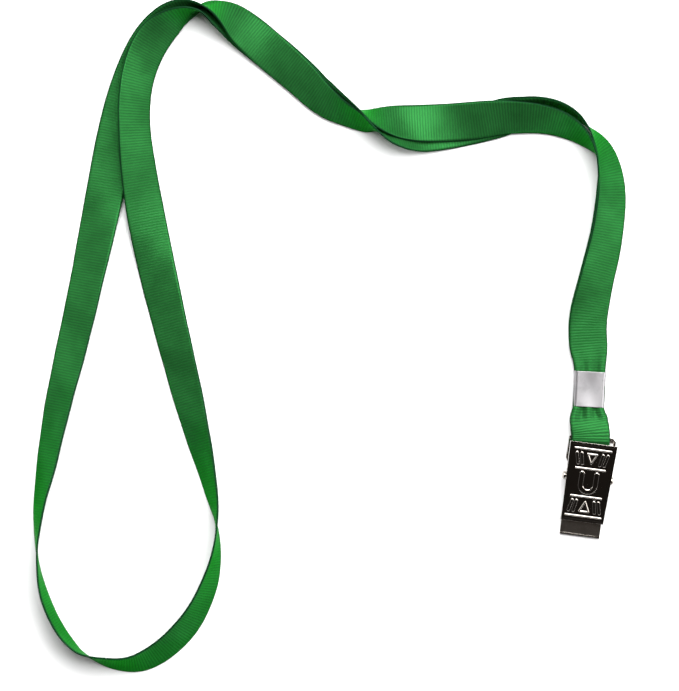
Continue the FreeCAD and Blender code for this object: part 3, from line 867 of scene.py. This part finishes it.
@dataclass
class UpperPlateRelief:
    """The pressed relief on the upper lever's plate, as a thin skin that follows the plate.

    Distances are in millimetres: u across the plate from its middle, v up it from the jaw end.

    Args:
        front_top: height of the plate's top at its jaw end.
        front_half: half the plate's width there.
        inset: how far the skin stays inside the plate's outline.
        shoulder: width of the slope beside a raised line.
        height: how far a line is raised.
        skin: how far the skin's top stands over the plate.
        edge_drop: distance from the skin's edge at which it sinks into the plate.
        edge_ramp: width of the slope there.
        wall: the skin's thickness.
        bend: u of the bend's legs' middles, v of its centre and half its line's width.
        columns: cells across.
        rows: cells along.
    """

    front_top: float = 3.4
    front_half: float = 6.7
    inset: float = 0.55
    shoulder: float = 0.2
    height: float = 0.15
    skin: float = 0.05
    edge_drop: float = 0.12
    edge_ramp: float = 0.2
    wall: float = 0.12
    bend: Point = (2.3, 12.4, 0.62)
    columns: int = 146
    rows: int = 260

    def bars(self) -> list[tuple[float, float, float, float, float]]:
        """Give the relief's straight raised bars.

        Returns:
            Segments as u and v of both ends, then the bar's half width.
        """
        reach, centre, half = self.bend
        lines = [
            (-5.7, 24.2, 5.7, 24.2, 0.12), (-4.6, 17.7, 4.6, 17.7, 0.12),
            (-4.8, 8.4, 4.8, 8.4, 0.12), (-5.6, 1.9, 5.6, 1.9, 0.12),
        ]
        for side in (-1.0, 1.0):
            for top, foot in ((4.9, 4.1), (3.35, 2.75)):
                lines.append((side * top, 22.6, side * foot, 19.3, 0.32))
                lines.append((side * foot, 6.9, side * top, 3.5, 0.32))
            lines.append((side * 1.5, 22.6, 0.0, 19.4, 0.08))
            lines.append((0.0, 6.8, side * 1.5, 3.5, 0.08))
            lines.append((side * reach, 16.0, side * reach, centre, half))
        lines.append((-1.5, 22.6, 1.5, 22.6, 0.08))
        lines.append((-1.5, 3.5, 1.5, 3.5, 0.08))
        return lines

    def relief(self, u: np.ndarray, v: np.ndarray) -> np.ndarray:
        """Give the height of the pressed relief.

        Args:
            u: places across the plate.
            v: places up the plate.

        Returns:
            The heights there, in millimetres.
        """
        far = 99.0
        nearest = np.full(u.shape, far)
        for u0, v0, u1, v1, half in self.bars():
            du, dv = u1 - u0, v1 - v0
            share = np.clip(((u - u0) * du + (v - v0) * dv) / (du * du + dv * dv), 0.0, 1.0)
            away = np.hypot(u - u0 - share * du, v - v0 - share * dv)
            nearest = np.minimum(nearest, away - half)
        reach, centre, half = self.bend
        arc = np.abs(np.hypot(u, v - centre) - reach) - half
        nearest = np.minimum(nearest, np.where(v < centre, arc, far))
        return self.height * ease(np.clip(1.0 - nearest / self.shoulder, 0.0, 1.0))

    def build(self) -> bpy.types.Object:
        """Make the skin.

        Returns:
            The skin's object.
        """
        low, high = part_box("upper_jaw")
        front, heel, heel_half = low[1] / MM, high[1] / MM, high[0] / MM
        run = heel - front
        rise = high[2] / MM - self.front_top
        length = math.hypot(run, rise)
        mesh, flat = grid_mesh("upper_plate_relief", self.columns, self.rows)
        v = self.inset + (flat[:, 1] + 0.5) * (length - 2.0 * self.inset)
        half = self.front_half + (heel_half - self.front_half) * v / length - self.inset
        u = flat[:, 0] * 2.0 * half
        edge = np.minimum.reduce([half - np.abs(u), v - self.inset, length - self.inset - v])
        seat = self.skin * np.clip((edge - self.edge_drop) / self.edge_ramp, -0.6, 1.0)
        up = self.relief(u, v) + seat
        normal_y, normal_z = -rise / length, run / length
        y = front + v * run / length + up * normal_y
        z = self.front_top + v * rise / length + up * normal_z
        mesh.vertices.foreach_set("co", (np.stack([u, y, z], axis=1) * MM).ravel())
        mesh.update()
        smooth_all(mesh)
        skin = new_object("upper_plate_relief", mesh)
        wall = skin.modifiers.new("thickness", "SOLIDIFY")
        wall.thickness = self.wall * MM
        wall.offset = -1.0
        return skin


@dataclass
class BadgeClip:
    """The sprung clip: two levers, their pin and the closing spring.

    Args:
        lower_radius: radius of the lower lever's eased edges in millimetres.
        upper_radius: radius of the upper lever's eased edges in millimetres.
        pin_radius: radius of the pin's eased edges in millimetres.
        spring_start: where the spring would stop following the lower lever, in metres; not used.
        spring_end: where it would wholly follow the upper lever, in metres; not used.
    """

    lower_radius: float = 0.24
    upper_radius: float = 0.28
    pin_radius: float = 0.12
    spring_start: Point = (0.0, 0.0, 5.5 * MM)
    spring_end: Point = (0.0, 0.0, 7.5 * MM)

    def build(self, plate: bpy.types.Material, wire: bpy.types.Material) -> None:
        """Make and dress the clip's pieces.

        Args:
            plate: the levers' and pin's material.
            wire: the spring's material.
        """
        lower = PressedPiece("lower_jaw", "lower_lever", self.lower_radius).build()
        dress(lower, plate, Body.CLIP_BASE)
        upper = PressedPiece("upper_jaw", "upper_lever", self.upper_radius).build()
        dress(upper, plate, Body.CLIP_LEVER)
        relief = UpperPlateRelief().build()
        dress(relief, plate, Body.CLIP_LEVER)
        pin = PressedPiece("pivot_pin", "rivet_pin", self.pin_radius).build()
        dress(pin, plate, Body.CLIP_BASE)
        spring = PressedPiece("torsion_spring", "closing_spring").build()
        spring.data.materials.append(wire)
        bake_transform(spring)
        LOG.info("clip built")


@dataclass
class CrimpClamp:
    """The clamp: a strip of sheet folded round the doubled ribbon, its ends meeting underneath.

    Args:
        width: its width in millimetres, as are all its sizes.
        height: its height.
        length: its length along the ribbon.
        corner: radius of its corners outside.
        wall: the sheet's thickness.
        seam: the gap between the strip's ends.
        turn: how far it is turned on the table, in degrees.
        flare: how far each end opens.
        flare_reach: length of that opening.
        squeeze: how far its middle is pressed in.
        squeeze_reach: how far from its middle line that reaches.
        rim: radius of its eased rims.
        rings: cells along.
        around: cells round the section.
    """

    width: float = 10.0
    height: float = 3.2
    length: float = 11.2
    corner: float = 1.25
    wall: float = 0.5
    seam: float = 0.3
    turn: float = 4.5
    flare: float = 0.10
    flare_reach: float = 0.35
    squeeze: float = 0.16
    squeeze_reach: float = 2.6
    rim: float = 0.12
    rings: int = 48
    around: int = 160

    def outline(self, distance: np.ndarray) -> tuple[np.ndarray, np.ndarray]:
        """Place points round the clamp's section.

        Args:
            distance: distances round it from the seam's middle, in millimetres.

        Returns:
            Across and up, in millimetres.
        """
        flat = self.width / 2.0 - self.corner
        tall = self.height - 2.0 * self.corner
        arc = self.corner * math.pi / 2.0
        across, up = np.zeros_like(distance), np.zeros_like(distance)
        high = self.height - self.corner
        # Each corner's centre and first angle, then the length and direction of the straight
        # that follows it.
        corners = (
            (flat, self.corner, -90.0, tall, 0.0, 1.0), (flat, high, 0.0, 2.0 * flat, -1.0, 0.0),
            (-flat, high, 90.0, tall, 0.0, -1.0), (-flat, self.corner, 180.0, flat, 1.0, 0.0),
        )
        at = flat
        across[:] = np.minimum(distance, flat)
        for x, z, angle, run, step_x, step_z in corners:
            here = distance >= at
            bend = np.radians(angle) + np.clip((distance - at) / self.corner, 0.0, math.pi / 2.0)
            across = np.where(here, x + self.corner * np.cos(bend), across)
            up = np.where(here, z + self.corner * np.sin(bend), up)
            at += arc
            past = np.clip(distance - at, 0.0, run) * here
            across, up = across + step_x * past, up + step_z * past
            at += run
        return across, up

    def build(self, material: bpy.types.Material) -> None:
        """Make and dress the clamp.

        Args:
            material: its material.
        """
        mesh, flat = grid_mesh("crimp", self.around, self.rings)
        girth = 2.0 * (self.width + self.height) - (8.0 - 2.0 * math.pi) * self.corner
        share, v = flat[:, 0] + 0.5, flat[:, 1] + 0.5
        across, up = self.outline(self.seam / 2.0 + share * (girth - self.seam))
        end = np.minimum(v, 1.0 - v) * self.length
        flare = self.flare * np.exp(-(end / self.flare_reach) ** 2)
        dent = np.exp(-(across / self.squeeze_reach) ** 2)
        squeeze = self.squeeze * np.sin(math.pi * v) * dent
        middle = self.height / 2.0
        across = across * (1.0 + flare / (self.width / 2.0))
        up = middle + (up - middle) * (1.0 - squeeze / middle)
        low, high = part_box("crimp_clamp")
        along = (v - 0.5) * self.length
        angle = math.radians(self.turn)
        x = (low[0] + high[0]) / 2.0 / MM + across * math.cos(angle) - along * math.sin(angle)
        y = (low[1] + high[1]) / 2.0 / MM + across * math.sin(angle) + along * math.cos(angle)
        mesh.vertices.foreach_set("co", (np.stack([x, y, up], axis=1) * MM).ravel())
        mesh.flip_normals()
        mesh.update()
        smooth_all(mesh)
        clamp = new_object("crimp", mesh)
        wall = clamp.modifiers.new("wall", "SOLIDIFY")
        wall.thickness = self.wall * MM
        wall.offset = -1.0
        rim = clamp.modifiers.new("rim", "BEVEL")
        rim.width = self.rim * MM
        rim.segments = 3
        rim.limit_method = "ANGLE"
        rim.angle_limit = math.radians(50.0)
        dress(clamp, material, Body.STRAP)
        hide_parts("crimp_clamp")


# ---------------------------------------------------------------------------------------------
# Floor, light and camera


@dataclass(frozen=True)
class SoftLight:
    """One soft light.

    Args:
        name: its name.
        place: where it stands, in metres.
        size: the side of its square in metres.
        power: its power in watts.
    """

    name: str
    place: Point
    size: float
    power: float

    def build(self, target: Point) -> None:
        """Make the light.

        Args:
            target: the point that it faces, in metres.
        """
        lamp = bpy.data.lights.new(self.name, "AREA")
        lamp.size = self.size
        lamp.energy = self.power
        holder = bpy.data.objects.new(self.name, lamp)
        holder.location = self.place
        aim = Vector(target) - Vector(self.place)
        holder.rotation_euler = aim.to_track_quat("-Z", "Y").to_euler()
        bpy.context.scene.collection.objects.link(holder)


@dataclass
class Studio:
    """A pale table under soft light, seen from straight above.

    Args:
        middle: the point of the table that the camera looks at, in metres.
        roll: the camera's turn about its line of sight, in degrees.
        height: the camera's height in metres.
        view_width: width of what it sees on the table, in metres.
        sensor: its sensor's width in millimetres.
        floor_half: half the table top's side in metres.
        lights: the soft lights.
    """

    middle: tuple[float, float] = (-0.0827, 0.0310)
    roll: float = 7.5
    height: float = 1.0
    view_width: float = 0.2139
    sensor: float = 36.0
    floor_half: float = 3.0
    lights: tuple[SoftLight, ...] = (
        SoftLight("key", (0.0, 0.55, 0.85), 0.95, 27.0),
        SoftLight("fill_left", (-0.90, 0.10, 0.36), 0.60, 3.0),
        SoftLight("fill_right", (0.80, 0.16, 0.40), 0.70, 8.0),
    )

    def build(self) -> None:
        """Make the floor, the lights, the surroundings and the camera."""
        self.build_floor()
        self.build_world()
        for light in self.lights:
            light.build((*self.middle, 0.0))
        self.build_camera()
        bpy.context.scene.view_settings.view_transform = "Standard"

    def build_floor(self) -> None:
        """Make the table top."""
        shape = bmesh.new()
        bmesh.ops.create_grid(shape, x_segments=1, y_segments=1, size=self.floor_half)
        mesh = bpy.data.meshes.new("table_top")
        shape.to_mesh(mesh)
        shape.free()
        floor = new_object("table_top", mesh)
        material, nodes, shader = new_material("pale_table")
        place = nodes.add("ShaderNodeTexCoord")
        grain = nodes.noise(place.outputs["Object"], 60.0, 3.0)
        tone = nodes.blend(grain, (0.86, 0.86, 0.87, 1.0), (0.90, 0.90, 0.90, 1.0))
        nodes.link(tone, shader.inputs["Base Color"])
        shader.inputs["Roughness"].default_value = 0.7
        shader.inputs["Specular IOR Level"].default_value = 0.2
        mesh.materials.append(material)

    def build_world(self) -> None:
        """Make surroundings that are bright low down and dim overhead."""
        world = bpy.data.worlds.new("studio")
        world.use_nodes = True
        world.node_tree.nodes.clear()
        nodes = Nodes(world.node_tree)
        place = nodes.add("ShaderNodeTexCoord")
        parts = nodes.add("ShaderNodeSeparateXYZ")
        nodes.link(place.outputs["Generated"], parts.inputs["Vector"])
        overhead = nodes.smooth(parts.outputs["Z"], 0.30, 0.62)
        tone = nodes.blend(overhead, (0.42, 0.42, 0.43, 1.0), (0.050, 0.042, 0.036, 1.0))
        behind = nodes.smooth(parts.outputs["Y"], -0.7, 0.3)
        strength = nodes.math("MULTIPLY_ADD", behind, 0.75, 0.35)
        back = nodes.add("ShaderNodeBackground")
        nodes.link(strength, back.inputs["Strength"])
        nodes.link(tone, back.inputs["Color"])
        output = nodes.add("ShaderNodeOutputWorld")
        nodes.link(back.outputs["Background"], output.inputs["Surface"])
        bpy.context.scene.world = world

    def build_camera(self) -> None:
        """Make the camera, looking straight down."""
        camera = bpy.data.cameras.new("camera")
        camera.sensor_fit = "HORIZONTAL"
        camera.sensor_width = self.sensor
        camera.lens = self.sensor * self.height / self.view_width
        camera.clip_end = 10.0
        holder = bpy.data.objects.new("camera", camera)
        holder.location = (*self.middle, self.height)
        holder.rotation_euler = (0.0, 0.0, math.radians(self.roll))
        bpy.context.scene.collection.objects.link(holder)
        bpy.context.scene.camera = holder


def main() -> None:
    """Build the lanyard and its studio."""
    logging.basicConfig(level=logging.INFO)
    marks = handling_marks_group()
    ribbon = RibbonFinish().build()
    plate = POLISHED_NICKEL.build(marks)
    crimp = BRIGHT_TIN.build(marks)
    wire = SPRING_WIRE.build(marks)
    Studio().build()
    NeckRibbon().build(ribbon)
    CrimpClamp().build(crimp)
    BadgeClip().build(plate, wire)


if __name__ == "__main__":
    main()
